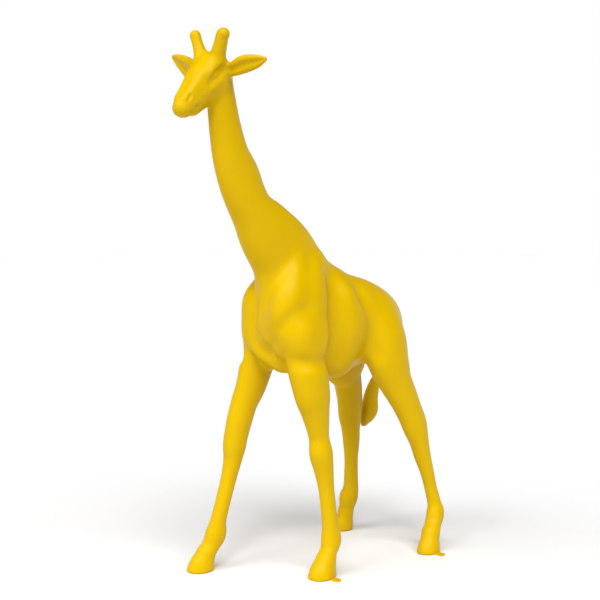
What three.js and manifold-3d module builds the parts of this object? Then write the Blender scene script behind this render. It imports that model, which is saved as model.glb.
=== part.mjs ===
// A walking giraffe, a painted garden statue cast in one piece, with a steel fixing lug let into the
// sole of each left hoof. It faces -Y, its own left is +X and it stands on z = 0.
//
// The figure is carved as one smooth field: every limb and muscle is a chain of oval sections, the
// chains melt into each other with a chosen softness, and hollows are taken out the same way. The
// zero surface of that field is then drawn with marching cubes on a lattice that is fine at the
// head and hooves and coarser at the trunk.
import * as THREE from "three";
import { triTable } from "three/addons/objects/MarchingCubes.js";
import Module from "manifold-3d";

// Driving sizes, in millimetres.
const STATUE_HEIGHT = 2300;
const LUG_WIDTH = 30;
const LUG_THICKNESS = 8;
const LUG_SHOWN = 38;
const LUG_BURIED = 30;
const LUG_HOLE = 11;
const LUG_CORNER = 9;
const FIT_GAP = 0.3;

// The carving is given in hundredths of the statue's height: x to its left, y to its back, z up.
// Sections along a limb: x, y, z of the centre, half depth and half width.
const TRUNK = [
  [0, -1.0, 45.8, 5.0, 4.2],
  [0, 2.5, 47.0, 9.0, 5.4],
  [0, 6.5, 46.9, 11.1, 6.2],
  [0, 10.0, 46.2, 10.4, 6.8],
  [0, 14.0, 46.0, 9.4, 6.9],
  [0, 18.0, 45.9, 8.5, 6.2],
  [0, 22.5, 45.4, 7.0, 5.5],
  [0, 25.6, 44.6, 4.8, 4.2],
  [0, 28.0, 44.2, 2.8, 2.8],
];

const NECK = [
  [0, 2.4, 50.0, 8.2, 4.8],
  [0, 1.1, 54.5, 8.1, 4.6],
  [0, -1.25, 59.2, 7.2, 4.3],
  [0, -5.3, 63.5, 6.0, 3.9],
  [0, -8.5, 67.0, 4.5, 3.4],
  [0, -10.6, 70.2, 4.3, 3.05],
  [0, -12.15, 73.6, 4.4, 2.75],
  [0, -13.9, 77.2, 3.75, 2.55],
  [0, -15.0, 81.0, 3.3, 2.35],
  [0, -15.8, 85.0, 2.9, 2.25],
  [0, -16.5, 89.0, 2.6, 2.25],
  [0, -17.0, 91.5, 2.4, 2.2],
];

const FRONT_LEFT_LEG = [
  [5.2, -1.4, 43.0, 3.6, 2.8],
  [6.2, -1.0, 39.2, 3.8, 2.9],
  [6.7, -0.25, 34.4, 3.8, 2.75],
  [6.75, 0.3, 31.4, 3.05, 2.4],
  [6.9, 0.8, 28.4, 2.4, 2.05],
  [7.0, 1.2, 25.6, 1.95, 1.85],
  [7.2, 1.5, 22.8, 2.25, 2.15],
  [7.35, 2.0, 20.0, 1.9, 1.85],
  [7.55, 2.5, 16.4, 1.55, 1.45],
  [7.75, 2.9, 12.6, 1.5, 1.4],
  [7.95, 3.2, 9.0, 1.6, 1.5],
  [8.0, 3.4, 6.4, 2.05, 1.75],
  [8.2, 2.6, 4.6, 1.6, 1.6],
  [8.4, 1.7, 3.2, 1.8, 1.8],
];

const FRONT_RIGHT_LEG = [
  [-5.2, -1.8, 43.0, 3.4, 2.7],
  [-6.0, -2.3, 39.4, 3.6, 2.8],
  [-6.5, -3.1, 34.6, 3.5, 2.6],
  [-7.0, -4.8, 31.5, 2.65, 2.25],
  [-7.4, -5.7, 28.2, 2.6, 2.2],
  [-7.8, -6.2, 25.4, 2.4, 2.15],
  [-8.0, -6.5, 23.2, 2.25, 2.1],
  [-8.2, -6.8, 20.6, 1.8, 1.75],
  [-8.5, -7.65, 16.8, 1.5, 1.45],
  [-8.75, -8.7, 13.0, 1.45, 1.4],
  [-9.1, -9.65, 9.2, 1.55, 1.45],
  [-9.3, -10.15, 6.6, 2.1, 1.75],
  [-9.6, -11.0, 4.8, 1.75, 1.7],
  [-9.8, -12.0, 3.4, 1.75, 1.75],
];

const HIND_LEFT_LEG = [
  [3.4, 20.8, 45.8, 4.8, 3.0],
  [5.2, 20.8, 42.2, 5.4, 3.2],
  [6.3, 21.1, 38.0, 4.7, 2.9],
  [7.0, 22.3, 34.4, 3.8, 2.5],
  [7.6, 24.0, 31.0, 3.3, 2.25],
  [8.05, 25.4, 28.0, 3.0, 2.05],
  [8.5, 26.5, 25.2, 2.9, 1.95],
  [8.85, 27.35, 22.2, 2.2, 1.75],
  [9.05, 28.3, 18.8, 1.75, 1.6],
  [9.45, 29.3, 15.4, 1.4, 1.35],
  [9.7, 30.2, 12.0, 1.3, 1.2],
  [10.1, 30.9, 8.8, 1.5, 1.35],
  [10.4, 30.8, 6.9, 1.95, 1.65],
  [10.8, 29.6, 5.0, 1.65, 1.65],
  [11.2, 28.5, 3.6, 1.85, 1.85],
];

const HIND_RIGHT_LEG = [
  [-3.4, 20.8, 45.8, 4.8, 3.0],
  [-5.2, 20.8, 42.2, 5.4, 3.2],
  [-6.3, 21.0, 38.2, 5.4, 2.9],
  [-6.7, 22.1, 36.0, 4.6, 2.65],
  [-7.1, 23.2, 34.2, 3.5, 2.4],
  [-7.7, 24.5, 31.0, 3.2, 2.25],
  [-8.3, 25.5, 28.2, 3.05, 2.1],
  [-8.9, 26.2, 25.4, 2.9, 1.95],
  [-9.3, 26.8, 22.4, 2.2, 1.75],
  [-9.6, 27.3, 19.0, 1.8, 1.65],
  [-9.9, 27.6, 15.6, 1.45, 1.4],
  [-10.3, 28.0, 12.2, 1.5, 1.4],
  [-10.7, 28.3, 8.8, 1.7, 1.55],
  [-11.0, 28.0, 7.0, 2.1, 1.75],
  [-11.3, 27.8, 5.1, 1.6, 1.6],
  [-11.6, 27.7, 3.7, 1.65, 1.65],
];

const TAIL = [
  [0, 27.0, 46.6, 2.0, 2.0],
  [-0.6, 29.4, 44.8, 1.4, 1.4],
  [-1.9, 31.7, 41.8, 1.05, 1.05],
  [-4.3, 32.7, 38.2, 0.85, 0.85],
  [-5.4, 33.2, 35.0, 0.85, 0.85],
  [-7.2, 32.5, 32.4, 0.95, 0.95],
  [-7.9, 32.1, 30.2, 1.3, 1.3],
  [-8.3, 31.8, 28.0, 1.55, 1.55],
  [-8.5, 31.6, 25.2, 1.7, 1.7],
  [-9.2, 30.7, 22.6, 0.6, 0.6],
];

// Each hoof: the middle of its sole, the middle of its coronet, half length and half width.
const HOOVES = [
  { sole: [8.85, 0.1], coronet: [8.55, 1.3], long: 2.75, wide: 2.35 },
  { sole: [-10.2, -13.3], coronet: [-9.9, -12.3], long: 2.6, wide: 2.25 },
  { sole: [11.9, 27.0], coronet: [11.4, 28.0], long: 2.5, wide: 2.1 },
  { sole: [-12.1, 27.1], coronet: [-11.7, 27.7], long: 2.3, wide: 2.1 },
];
const CORONET_UP = 2.7;

// Muscles: softness of the join, the sides they are on, then the sections as they lie on the left side.
const BOTH = [1, -1];
const LEFT = [1];
const RIGHT = [-1];
const MUSCLES = [
  {
    name: "shoulder blade",
    soft: 1.8,
    sides: BOTH,
    sections: [
      [1.8, 4.4, 57.6, 2.4, 1.8],
      [4.4, 1.2, 52.6, 3.6, 2.3],
      [5.0, 0.6, 49.4, 3.4, 2.4],
    ],
  },
  {
    name: "left neck root",
    soft: 1.1,
    sides: LEFT,
    sections: [
      [3.6, -0.4, 58.8, 2.0, 1.8],
      [4.3, -2.0, 54.6, 3.0, 2.7],
      [4.6, -3.2, 50.8, 3.4, 3.2],
      [3.4, -4.0, 48.4, 3.0, 2.8],
    ],
  },
  {
    name: "right neck root",
    soft: 1.4,
    sides: RIGHT,
    sections: [
      [2.6, -0.6, 57.0, 1.8, 1.6],
      [3.2, -2.0, 54.0, 2.5, 2.3],
      [4.2, -3.3, 50.8, 3.3, 3.1],
      [4.4, -3.2, 47.6, 3.5, 3.3],
    ],
  },
  {
    name: "breast",
    soft: 1.4,
    sides: BOTH,
    sections: [
      [1.6, -3.6, 46.4, 2.6, 2.0],
      [1.6, -3.4, 43.6, 2.4, 2.0],
    ],
  },
  {
    name: "left upper arm",
    soft: 1.3,
    sides: LEFT,
    sections: [
      [5.0, -2.9, 44.9, 3.9, 3.6],
      [5.0, 0.4, 44.9, 4.3, 3.8],
    ],
  },
  {
    name: "right upper arm",
    soft: 1.3,
    sides: RIGHT,
    sections: [
      [4.6, -2.8, 44.9, 3.6, 3.4],
      [4.9, 0.4, 44.9, 4.3, 3.8],
    ],
  },
  {
    name: "breast bulb",
    soft: 0.9,
    sides: LEFT,
    sections: [
      [0.5, -5.0, 46.4, 1.3, 1.4],
      [0.7, -5.2, 44.6, 1.4, 1.5],
    ],
  },
  {
    name: "right breast fold",
    soft: 0.6,
    sides: RIGHT,
    sections: [
      [5.0, -4.8, 44.6, 1.5, 1.5],
      [2.2, -4.5, 41.6, 1.6, 1.6],
      [-1.0, -3.0, 39.5, 1.6, 1.5],
    ],
  },
  {
    name: "left breast fold",
    soft: 0.6,
    sides: LEFT,
    sections: [
      [4.6, -4.4, 43.4, 1.6, 1.6],
      [2.4, -4.0, 41.4, 1.5, 1.5],
      [0.6, -2.4, 39.3, 1.4, 1.4],
    ],
  },
  {
    name: "brisket",
    soft: 1.4,
    sides: BOTH,
    sections: [
      [0.8, -2.4, 41.6, 1.8, 1.8],
      [2.4, -2.2, 39.4, 1.6, 1.5],
    ],
  },
  {
    name: "ribs",
    soft: 1.4,
    sides: BOTH,
    sections: [
      [3.4, 9.8, 50.6, 3.6, 3.2],
      [3.9, 10.4, 44.6, 4.4, 3.5],
      [2.8, 9.8, 39.6, 3.8, 3.1],
    ],
  },
  {
    name: "hip",
    soft: 1.6,
    sides: BOTH,
    sections: [
      [2.6, 17.6, 48.8, 2.8, 2.4],
      [2.6, 21.6, 47.8, 2.6, 2.3],
    ],
  },
  {
    name: "buttock",
    soft: 1.6,
    sides: BOTH,
    sections: [
      [2.6, 23.4, 46.0, 2.7, 2.4],
      [4.2, 23.6, 41.6, 2.9, 2.4],
      [5.8, 24.0, 37.0, 2.2, 1.8],
    ],
  },
];

// Grooves between the muscles, cut the same way.
const GROOVES = [
  {
    name: "behind the shoulder",
    soft: 1.4,
    sides: BOTH,
    sections: [
      [6.2, 6.4, 54.6, 0.7, 0.7],
      [8.0, 6.2, 47.0, 1.1, 1.1],
      [7.6, 5.8, 40.4, 0.9, 0.9],
    ],
  },
  {
    name: "flank",
    soft: 1.6,
    sides: BOTH,
    sections: [
      [6.2, 14.0, 52.4, 0.8, 0.8],
      [8.1, 16.0, 46.4, 1.0, 1.0],
      [8.2, 16.0, 40.4, 0.9, 0.9],
    ],
  },
  {
    name: "under the upper arm",
    soft: 0.8,
    sides: BOTH,
    sections: [
      [7.6, -5.4, 40.4, 0.8, 0.8],
      [9.2, -1.6, 40.2, 1.2, 1.2],
      [8.8, 2.4, 40.2, 1.0, 1.0],
    ],
  },
  {
    name: "over the upper arm",
    soft: 1.2,
    sides: LEFT,
    sections: [
      [5.6, -7.6, 46.2, 0.3, 0.3],
      [7.2, -6.9, 48.2, 0.5, 0.5],
      [8.6, -5.0, 49.8, 0.5, 0.5],
      [9.2, -1.6, 50.4, 0.4, 0.4],
    ],
  },
  {
    name: "beside the breast",
    soft: 0.8,
    sides: RIGHT,
    sections: [
      [1.0, -7.3, 53.0, 0.3, 0.3],
      [1.1, -7.2, 49.0, 0.5, 0.5],
      [1.2, -7.0, 45.4, 0.4, 0.4],
    ],
  },
  {
    name: "under the bulb",
    soft: 0.5,
    sides: LEFT,
    sections: [
      [-1.1, -7.0, 45.4, 0.35, 0.35],
      [-0.2, -6.6, 43.8, 0.4, 0.4],
      [1.6, -6.0, 42.0, 0.45, 0.45],
      [2.6, -4.9, 40.6, 0.4, 0.4],
    ],
  },
];

// The mane is a low narrow ridge down the nape.
const MANE = [
  [0, -14.9, 90.6, 0.9, 0.55],
  [0, -14.1, 86.6, 0.9, 0.55],
  [0, -12.9, 82.0, 0.9, 0.55],
  [0, -11.4, 78.0, 0.9, 0.55],
  [0, -10.0, 74.4, 0.8, 0.5],
  [0, -8.7, 71.8, 0.6, 0.45],
];

// The head has its own frame: f runs down the face to the nose, s to its left, t out of the forehead.
const HEAD_AT = [0, -18.6, 91.4];
const HEAD_TURN = 6;
const HEAD_PITCH = 44;
const HEAD_TILT = 5;
const FACE = [
  [-0.6, 0, 0.2, 3.2, 2.6],
  [1.6, 0, 0.0, 3.25, 2.85],
  [3.8, 0, -0.25, 2.85, 2.6],
  [6.0, 0, -0.45, 2.5, 2.2],
  [7.9, 0, -0.3, 2.05, 1.9],
  [8.9, 0, -0.2, 1.7, 1.75],
];
const CHEEK = [
  [0.2, 1.1, -1.6, 2.2, 1.5],
  [2.6, 1.0, -1.5, 1.6, 1.1],
];
const JAW = [
  [4.6, 0.3, -2.1, 1.0, 0.8],
  [7.2, 0.3, -1.5, 0.95, 0.9],
];
const BROW = [
  [-0.4, 2.0, 1.9, 0.8, 0.8],
  [1.4, 2.15, 1.6, 0.75, 0.75],
];
const EYE_SOCKET = [
  [0.3, 3.35, 0.65, 0.85, 0.8],
  [1.5, 3.2, 0.5, 0.85, 0.8],
];
const EYEBALL = [
  [0.7, 2.15, 0.6, 0.78, 0.78],
  [1.1, 2.15, 0.6, 0.78, 0.78],
];
const NOSTRIL = [
  [7.9, 1.5, 1.05, 0.4, 0.35],
  [8.8, 1.6, 0.7, 0.35, 0.3],
];
const MOUTH = [
  [6.8, 1.95, -1.2, 0.22, 0.3],
  [8.8, 1.85, -1.2, 0.22, 0.3],
  [10.3, 0.7, -1.2, 0.22, 0.22],
];
// Horns and ears are given from the head's middle too, but upright: left, back and up.
const LEFT_OSSICONE = [
  [1.6, 0.0, 1.6, 1.7, 1.6],
  [2.0, -0.4, 3.2, 1.4, 1.35],
  [2.65, -0.6, 5.0, 1.12, 1.1],
  [3.45, -0.7, 6.75, 1.12, 1.1],
];
const RIGHT_OSSICONE = [
  [1.8, 0.0, 1.6, 1.6, 1.5],
  [2.2, -0.4, 3.2, 1.25, 1.2],
  [2.8, -0.6, 4.8, 0.98, 0.95],
  [3.45, -0.7, 6.35, 0.98, 0.95],
];
const LEFT_EAR = [
  [1.8, 1.7, 0.5, 0.95, 0.9],
  [3.9, 1.6, 0.95, 1.25, 0.8],
  [6.4, 1.6, 1.8, 1.55, 0.72],
  [8.9, 1.7, 2.3, 1.2, 0.6],
  [10.8, 1.8, 2.7, 0.45, 0.4],
];
const RIGHT_EAR = [
  [1.8, 1.6, -0.3, 1.95, 0.9],
  [4.0, 1.2, 0.3, 2.35, 0.8],
  [6.6, 1.2, 1.2, 1.95, 0.72],
  [9.2, 1.4, 2.1, 1.3, 0.6],
  [10.9, 1.6, 2.8, 0.5, 0.4],
];
const EAR_FACING = [0.12, -0.93, -0.34];

// The lattice's cell at each height, as [height, cell], and its middle line from front to back.
const CELLS = [
  [-2, 0.7],
  [6, 0.7],
  [12, 0.9],
  [46, 0.95],
  [50, 1.25],
  [60, 1.25],
  [66, 1.15],
  [83, 1.0],
  [87, 0.52],
  [102, 0.52],
];
const LATTICE_MIDDLE = [
  [-2, 8.5],
  [52, 8.5],
  [80, -18],
  [102, -19],
];
const RELAX_ROUNDS = 3;
// The most triangles that the figure keeps, and how much finer the head (above a height) and the
// hooves (below one) stay than the rest.
const MOST_TRIANGLES = 9400;
const FINER_HEAD = 1.9;
const HEAD_FROM = 84;
const FINER_HOOF = 1.2;
const HOOF_UP_TO = 5;
const STEPS_PER_SPAN = 3;
const FAR = 50;

const lerp = THREE.MathUtils.lerp;

// The value of a [position, value] table at a position, in straight lines.
function tableAt(table, at) {
  const next = table.findIndex(([position]) => position > at);
  if (next === 0) return table[0][1];
  if (next < 0) return table[table.length - 1][1];
  const [from, a] = table[next - 1];
  const [to, b] = table[next];
  return lerp(a, b, (at - from) / (to - from));
}

// The sections of a chain, made denser along a smooth curve.
function dense(sections) {
  const last = sections.length - 1;
  const made = [sections[0]];
  for (let span = 0; span < last; span++) {
    const [before, from, to, after] = [span - 1, span, span + 1, span + 2].map(
      (i) => sections[Math.min(last, Math.max(0, i))],
    );
    for (let step = 1; step <= STEPS_PER_SPAN; step++) {
      const t = step / STEPS_PER_SPAN;
      made.push(
        from.map((p, i) => {
          const out = (to[i] - before[i]) / 2;
          const into = (after[i] - p) / 2;
          const h = t * t * (3 - 2 * t);
          return lerp(p, to[i], h) + t * (1 - t) * ((1 - t) * out - t * into);
        }),
      );
    }
  }
  return made;
}

// A chain of bones with oval sections, wide along the axis across, joined to what came before it.
function chain(sections, soft, across = [1, 0, 0], hollow = false) {
  const rows = dense(sections);
  const bones = rows.slice(1).map((to, i) => {
    const from = rows[i];
    const run = [to[0] - from[0], to[1] - from[1], to[2] - from[2]];
    return {
      from,
      to,
      run,
      length2: run[0] ** 2 + run[1] ** 2 + run[2] ** 2 || 1,
    };
  });
  const reach = Math.max(...rows.map((r) => Math.max(r[3], r[4]))) + soft + 3;
  const low = [0, 1, 2].map((i) => Math.min(...rows.map((r) => r[i])) - reach);
  const high = [0, 1, 2].map((i) => Math.max(...rows.map((r) => r[i])) + reach);
  return { bones, soft, across, hollow, low, high };
}

function chainDistance({ bones, across }, x, y, z) {
  let nearest = FAR;
  for (const { from, to, run, length2 } of bones) {
    const vx = x - from[0];
    const vy = y - from[1];
    const vz = z - from[2];
    const along = (vx * run[0] + vy * run[1] + vz * run[2]) / length2;
    const t = along < 0 ? 0 : along > 1 ? 1 : along;
    const deep = from[3] + (to[3] - from[3]) * t;
    const wide = from[4] + (to[4] - from[4]) * t;
    const ox = vx - run[0] * t;
    const oy = vy - run[1] * t;
    const oz = vz - run[2] * t;
    const sideways = ox * across[0] + oy * across[1] + oz * across[2];
    const rest2 = ox * ox + oy * oy + oz * oz - sideways * sideways;
    const squeeze = deep / wide;
    const s2 = (sideways * squeeze) ** 2;
    const oval = Math.sqrt(rest2 + s2);
    const slope = Math.sqrt(rest2 + s2 * squeeze * squeeze) / (oval + 1e-9);
    const d = (oval - deep) / Math.max(slope, 0.2);
    if (d < nearest) nearest = d;
  }
  return nearest;
}

// The smaller of two distances, with a rounded valley where they meet.
function melt(a, b, soft) {
  const h = Math.max(soft - Math.abs(a - b), 0) / soft;
  return Math.min(a, b) - (h * h * soft) / 4;
}

// The distance field of a list of chains.
function fieldOf(chains) {
  return (x, y, z) => {
    let d = FAR;
    for (const c of chains) {
      const { low, high } = c;
      if (x < low[0] || y < low[1] || z < low[2] || x > high[0] || y > high[1] || z > high[2]) continue;
      const own = chainDistance(c, x, y, z);
      d = c.hollow ? -melt(-d, own, c.soft) : melt(d, own, c.soft);
    }
    return d;
  };
}

const radians = THREE.MathUtils.degToRad;
const mirrored = (sections, side) => sections.map(([s, ...rest]) => [s * side, ...rest]);

// Turns a direction given as left, back and up of the upright head to the statue's own axes.
function turned([left, back, up], side = 1) {
  const turn = radians(HEAD_TURN);
  const tilt = radians(HEAD_TILT);
  const across = left * side * Math.cos(tilt) + up * Math.sin(tilt);
  return [
    across * Math.cos(turn) - back * Math.sin(turn),
    across * Math.sin(turn) + back * Math.cos(turn),
    up * Math.cos(tilt) - left * side * Math.sin(tilt),
  ];
}

// Places upright head sections.
function onHead(rows, side) {
  return rows.map(([left, back, up, ...sizes]) => [
    ...turned([left, back, up], side).map((v, i) => v + HEAD_AT[i]),
    ...sizes,
  ]);
}

// Places sections given down the face: [f, s, t, deep, wide].
function onFace(rows, side) {
  const pitch = radians(HEAD_PITCH);
  const upright = rows.map(([f, s, t, ...sizes]) => [
    s,
    -f * Math.cos(pitch) - t * Math.sin(pitch),
    t * Math.cos(pitch) - f * Math.sin(pitch),
    ...sizes,
  ]);
  return onHead(upright, side);
}

function headChains() {
  const left = turned([1, 0, 0]);
  const made = [chain(onFace(FACE, 1), 1.6, left)];
  for (const side of [1, -1]) {
    made.push(chain(onFace(JAW, side), 0.8, left));
    made.push(chain(onFace(CHEEK, side), 1.2, left));
    made.push(chain(onFace(BROW, side), 0.9, left));
    made.push(chain(onHead(side > 0 ? LEFT_OSSICONE : RIGHT_OSSICONE, side), 1.0, left));
    const facing = turned(EAR_FACING, side);
    const ear = onHead(side > 0 ? LEFT_EAR : RIGHT_EAR, side);
    made.push(chain(ear, 0.9, facing));
    const cup = ear.slice(1).map((row) => [
      ...[0, 1, 2].map((k) => row[k] + facing[k] * row[4] * 1.15),
      row[3] * 0.52,
      row[4] * 0.8,
    ]);
    made.push(chain(cup, 0.35, facing, true));
    made.push(chain(onFace(EYE_SOCKET, side), 0.6, left, true));
    made.push(chain(onFace(EYEBALL, side), 0.15, left));
    made.push(chain(onFace(NOSTRIL, side), 0.3, left, true));
    made.push(chain(onFace(MOUTH, side), 0.3, left, true));
  }
  return made;
}

function hoofChain({ sole, coronet, long, wide }) {
  const belly = coronet.map((c, i) => lerp(c, sole[i], 0.6));
  return chain(
    [
      [...coronet, CORONET_UP, long * 0.72, wide * 0.76],
      [...belly, CORONET_UP * 0.42, long * 0.94, wide * 0.94],
      [...sole, 0, long, wide],
      [...sole, -0.8, long * 0.98, wide * 0.98],
    ],
    0.5,
  );
}

function giraffeChains() {
  const chains = [chain(TRUNK, 0.1), chain(NECK, 3.0)];
  chains.push(chain(FRONT_LEFT_LEG, 1.6), chain(FRONT_RIGHT_LEG, 1.6));
  chains.push(chain(HIND_LEFT_LEG, 1.8), chain(HIND_RIGHT_LEG, 1.8));
  for (const { soft, sides, sections } of MUSCLES)
    for (const side of sides) chains.push(chain(mirrored(sections, side), soft));
  for (const { soft, sides, sections } of GROOVES)
    for (const side of sides) chains.push(chain(mirrored(sections, side), soft, [1, 0, 0], true));
  chains.push(chain(TAIL, 0.8), chain(MANE, 0.7));
  chains.push(...HOOVES.map(hoofChain));
  chains.push(...headChains());
  return chains;
}

// The lattice: levels of points in z, whose spacing in x and y follows the cell size at that height.
function latticeLevels() {
  const levels = [];
  for (let z = CELLS[0][0]; z < CELLS[CELLS.length - 1][0]; z += tableAt(CELLS, z))
    levels.push({ z, cell: tableAt(CELLS, z), middle: tableAt(LATTICE_MIDDLE, z) });
  return levels;
}

// How many points a level needs along x (axis 0) or y (axis 1) to reach past every bone at its height.
function latticeCount(chains, levels, axis) {
  let cells = 0;
  for (const { bones } of chains)
    for (const { from, to } of bones) {
      const radius = Math.max(from[3], from[4], to[3], to[4]);
      for (const { z, cell, middle } of levels) {
        if (z < Math.min(from[2], to[2]) - radius || z > Math.max(from[2], to[2]) + radius) continue;
        const centre = axis === 0 ? 0 : middle;
        const after = Math.max(from[axis], to[axis]) + radius - centre;
        const before = centre - Math.min(from[axis], to[axis]) + radius;
        cells = Math.max(cells, after / cell, before / cell);
      }
    }
  return 2 * Math.ceil(cells) + 3;
}

const CORNERS = [[0, 0, 0], [1, 0, 0], [1, 1, 0], [0, 1, 0], [0, 0, 1], [1, 0, 1], [1, 1, 1], [0, 1, 1]];
// Each edge of a cell: its lower corner and the axis it runs along.
const EDGES = [
  [0, 0], [1, 1], [3, 0], [0, 1],
  [4, 0], [5, 1], [7, 0], [4, 1],
  [0, 2], [1, 2], [2, 2], [3, 2],
];

// Marching cubes over the lattice: one shared vertex on each lattice edge that the surface crosses.
function marchingCubes(field, chains) {
  const levels = latticeLevels();
  const nx = latticeCount(chains, levels, 0);
  const ny = latticeCount(chains, levels, 1);
  const nz = levels.length;
  const index = (i, j, k) => i + nx * (j + ny * k);
  const place = (i, j, k) => {
    const { z, cell, middle } = levels[k];
    return [(i - (nx - 1) / 2) * cell, middle + (j - (ny - 1) / 2) * cell, z];
  };
  const values = new Float64Array(nx * ny * nz);
  for (let k = 0; k < nz; k++)
    for (let j = 0; j < ny; j++)
      for (let i = 0; i < nx; i++)
        values[index(i, j, k)] = k === 0 ? FAR : field(...place(i, j, k));

  const positions = [];
  const triangles = [];
  const shared = new Map();
  const vertexOn = (i, j, k, axis) => {
    const key = index(i, j, k) * 3 + axis;
    if (shared.has(key)) return shared.get(key);
    const end = [i, j, k];
    end[axis] += 1;
    const a = values[index(i, j, k)];
    const b = values[index(...end)];
    const from = place(i, j, k);
    const to = place(...end);
    const t = THREE.MathUtils.clamp(a / (a - b), 0.02, 0.98);
    positions.push(from.map((p, n) => lerp(p, to[n], t)));
    shared.set(key, positions.length - 1);
    return positions.length - 1;
  };
  for (let k = 0; k < nz - 1; k++)
    for (let j = 0; j < ny - 1; j++)
      for (let i = 0; i < nx - 1; i++) {
        let code = 0;
        CORNERS.forEach(([a, b, c], bit) => {
          if (values[index(i + a, j + b, k + c)] < 0) code |= 1 << bit;
        });
        if (code === 0 || code === 255) continue;
        for (let n = code * 16; triTable[n] !== -1; n += 3) {
          const corners = [0, 1, 2].map((m) => {
            const [corner, axis] = EDGES[triTable[n + m]];
            const [a, b, c] = CORNERS[corner];
            return vertexOn(i + a, j + b, k + c, axis);
          });
          triangles.push(corners.reverse());
        }
      }
  return { positions, triangles };
}

function slopeAt(field, [x, y, z]) {
  const h = 0.02;
  return [
    (field(x + h, y, z) - field(x - h, y, z)) / (2 * h),
    (field(x, y + h, z) - field(x, y - h, z)) / (2 * h),
    (field(x, y, z + h) - field(x, y, z - h)) / (2 * h),
  ];
}

// Moves a point onto the zero surface of the field, along the field's own slope.
function settle(field, from) {
  let p = from;
  for (let round = 0; round < 3; round++) {
    const g = slopeAt(field, p);
    const g2 = g[0] ** 2 + g[1] ** 2 + g[2] ** 2;
    const step = THREE.MathUtils.clamp(field(...p) / Math.max(g2, 0.05), -0.5, 0.5);
    p = p.map((v, i) => v - step * g[i]);
  }
  return p;
}

// Evens out the triangles: each vertex moves towards its neighbours' middle and back to the surface.
function relax(field, { positions, triangles }, rounds) {
  const neighbours = positions.map(() => new Set());
  for (const [a, b, c] of triangles) {
    neighbours[a].add(b).add(c);
    neighbours[b].add(a).add(c);
    neighbours[c].add(a).add(b);
  }
  let points = positions.map((p) => settle(field, p));
  for (let round = 0; round < rounds; round++)
    points = points.map((p, i) => {
      const around = [...neighbours[i]];
      const middle = [0, 1, 2].map((k) => around.reduce((sum, n) => sum + points[n][k], 0) / around.length);
      return settle(field, p.map((v, k) => lerp(v, middle[k], 0.5)));
    });
  return { positions: points, triangles };
}

const minus = (a, b) => [a[0] - b[0], a[1] - b[1], a[2] - b[2]];
const dot = (a, b) => a[0] * b[0] + a[1] * b[1] + a[2] * b[2];
const cross = (a, b) => [a[1] * b[2] - a[2] * b[1], a[2] * b[0] - a[0] * b[2], a[0] * b[1] - a[1] * b[0]];
const unit = (v) => v.map((c) => c / (Math.hypot(...v) || 1));

// Closes up the edges that say least about the shape, short ones on flat ground first.
function thin(field, mesh, most) {
  const points = [...mesh.positions];
  const normals = points.map((p) => unit(slopeAt(field, p)));
  const faces = mesh.triangles.map((t) => [...t]);
  const facesAt = points.map(() => new Set());
  faces.forEach((face, f) => face.forEach((v) => facesAt[v].add(f)));
  let count = faces.length;

  const ring = (v) => new Set([...facesAt[v]].flatMap((f) => faces[f]).filter((n) => n !== v));
  const cost = (a, b) => {
    const length = Math.hypot(...minus(points[a], points[b]));
    const bend = Math.hypot(...minus(normals[a], normals[b]));
    const z = points[a][2];
    const finer = z > HEAD_FROM ? FINER_HEAD : z < HOOF_UP_TO ? FINER_HOOF : 1;
    return length * (bend + 0.12) * finer;
  };
  // Whether every face around a vertex stays well shaped and keeps its side when it moves.
  const mayMove = (v, other, to) =>
    [...facesAt[v]].every((f) => {
      if (faces[f].includes(other)) return true;
      const old = faces[f].map((n) => points[n]);
      const now = faces[f].map((n) => (n === v ? to : points[n]));
      const was = cross(minus(old[1], old[0]), minus(old[2], old[0]));
      const is = cross(minus(now[1], now[0]), minus(now[2], now[0]));
      const longest = Math.max(...[0, 1, 2].map((i) => Math.hypot(...minus(now[i], now[(i + 1) % 3]))));
      return dot(unit(was), unit(is)) > 0.75 && Math.hypot(...is) > 0.22 * longest ** 2;
    });

  for (let worth = 0.05; count > most && worth < 20; worth *= 1.12) {
    const touched = new Set();
    const edges = [];
    for (const face of faces)
      if (face)
        for (let i = 0; i < 3; i++) {
          const [a, b] = [face[i], face[(i + 1) % 3]];
          if (a < b) edges.push([cost(a, b), a, b]);
        }
    edges.sort((p, q) => p[0] - q[0]);
    for (const [price, a, b] of edges) {
      if (price > worth || count <= most) break;
      if (touched.has(a) || touched.has(b)) continue;
      const around = ring(a);
      const shared = [...ring(b)].filter((n) => around.has(n));
      if (shared.length !== 2) continue;
      const to = settle(field, points[a].map((v, i) => (v + points[b][i]) / 2));
      if (!mayMove(a, b, to) || !mayMove(b, a, to)) continue;
      for (const f of [...facesAt[b]]) {
        if (faces[f].includes(a)) {
          for (const n of faces[f]) facesAt[n].delete(f);
          faces[f] = null;
          count -= 1;
        } else {
          faces[f] = faces[f].map((n) => (n === b ? a : n));
          facesAt[a].add(f);
        }
      }
      facesAt[b].clear();
      points[a] = to;
      normals[a] = unit(slopeAt(field, to));
      touched.add(a);
      for (const n of ring(a)) touched.add(n);
    }
  }

  const kept = faces.filter(Boolean);
  const numbers = new Map([...new Set(kept.flat())].map((v, i) => [v, i]));
  return {
    positions: [...numbers.keys()].map((v) => points[v]),
    triangles: kept.map((face) => face.map((v) => numbers.get(v))),
  };
}

const wasm = await Module();
wasm.setup();

function solidOf(positions, triangles) {
  return new wasm.Manifold(
    new wasm.Mesh({
      numProp: 3,
      vertProperties: new Float32Array(positions.flat()),
      triVerts: new Uint32Array(triangles.flat()),
    }),
  );
}

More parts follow.
